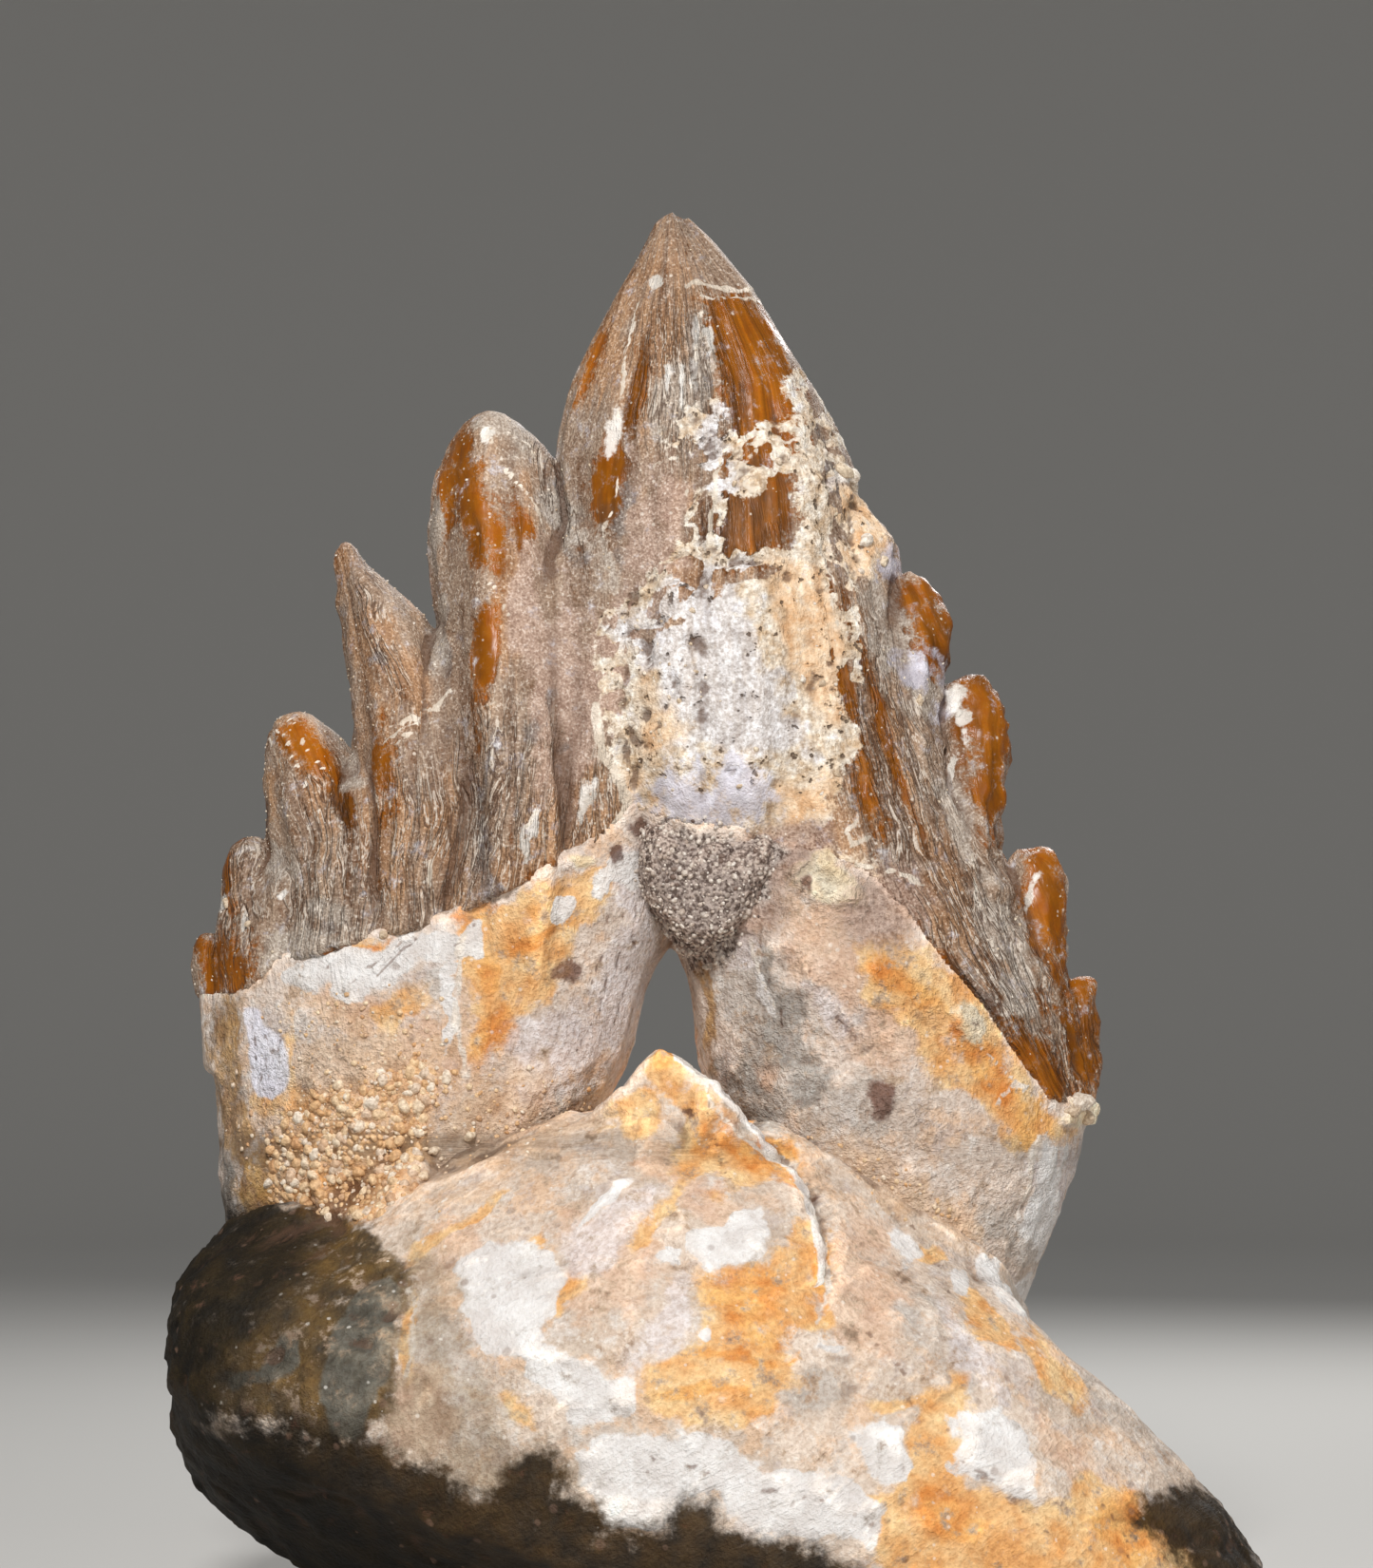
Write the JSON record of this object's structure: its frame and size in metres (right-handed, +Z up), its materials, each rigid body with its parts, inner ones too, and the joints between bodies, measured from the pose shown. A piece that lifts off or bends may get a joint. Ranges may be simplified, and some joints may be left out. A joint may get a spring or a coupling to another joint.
{
  "type": "fossil jaw piece with a cheek tooth",
  "caption": "Fossil whale jaw fragment: a serrated, two-rooted cheek tooth standing in a broken block of jaw bone with sandstone packed round its roots.",
  "frame": {"origin": "on the flat base of the jaw bone, under the main cusp of the tooth", "axes": "+X along the jaw, +Y away from the viewer, +Z up from the base to the tip of the main cusp"},
  "size_m": [0.094, 0.0583, 0.1245],
  "materials": {
    "enamel": "glossy ribbed amber enamel under a dull taupe film, on bare pinkish grey roots",
    "bone": "matt, porous and mottled orange and grey",
    "shard": "matt and fibrous, orange with white patches",
    "sandstone": "rough, grains of about a millimetre",
    "grit": "rough dark and pale grit"
  },
  "bodies": {
    "root": {"tooth": "enamel", "jaw_bone": "bone", "bone_shard": "shard", "socket_sandstone": "sandstone", "fork_sandstone": "grit"}
  },
  "joints": []
}
